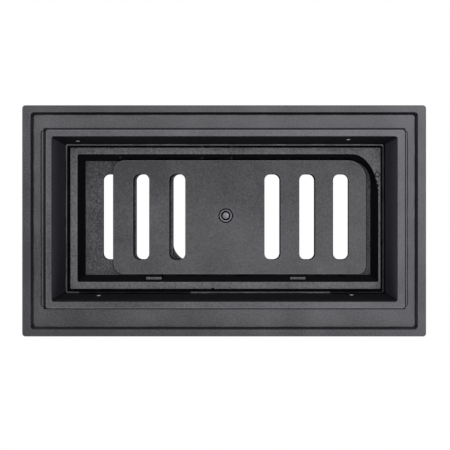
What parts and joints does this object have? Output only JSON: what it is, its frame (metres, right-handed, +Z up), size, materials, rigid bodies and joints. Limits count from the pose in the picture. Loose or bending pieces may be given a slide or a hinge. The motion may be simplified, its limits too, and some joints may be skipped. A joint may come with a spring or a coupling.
{
  "type": "ash pit door",
  "caption": "Cast iron ash pit door: framed collar for a masonry opening, side-hung door with a slotted air slide, and a drop latch at the front.",
  "frame": {"origin": "centre of the collar's outline on the plane where the flange's rear lip meets the wall", "axes": "+Y into the wall along the collar, +X to the right seen from the room, +Z up"},
  "size_m": [0.3199, 0.077, 0.1833],
  "materials": {
    "frame_iron": "black heat-proof paint on a sand-cast skin",
    "door_iron": "black heat-proof paint on a sand-cast skin, pitted",
    "slide_iron": "black heat-proof paint on a sand-cast skin",
    "latch_iron": "black heat-proof paint, rubbed at the edges",
    "plain_steel": "turned steel, dulled",
    "knob_steel": "turned steel, polished by hand"
  },
  "bodies": {
    "frame": {"frame": "frame_iron", "hinge_pin_lower": "plain_steel", "hinge_pin_upper": "plain_steel"},
    "door": {"door": "door_iron", "latch_screw": "plain_steel", "latch_washer": "plain_steel"},
    "slide": {"air_slide": "slide_iron", "slide_bush": "plain_steel", "slide_stud": "plain_steel", "slide_washer": "plain_steel", "slide_spring_washer": "plain_steel", "slide_knob": "knob_steel"},
    "latch": {"latch_lever": "latch_iron", "latch_knob": "knob_steel", "latch_knob_rivet": "plain_steel"}
  },
  "joints": [
    {"name": "door_hinge", "type": "hinge", "parent": "frame", "child": "door", "pos_m": [-0.13772, -0.0155, 0.00025], "axis": [0, 0, -1], "range_deg": [0, 150]},
    {"name": "air_slide_travel", "type": "slide", "parent": "door", "child": "slide", "axis": [1, 0, 0], "range_m": [0, 0.0129]},
    {"name": "latch_pivot", "type": "hinge", "parent": "door", "child": "latch", "pos_m": [0.12072, -0.0207, 0], "axis": [0, 1, 0], "range_deg": [0, 102]}
  ]
}
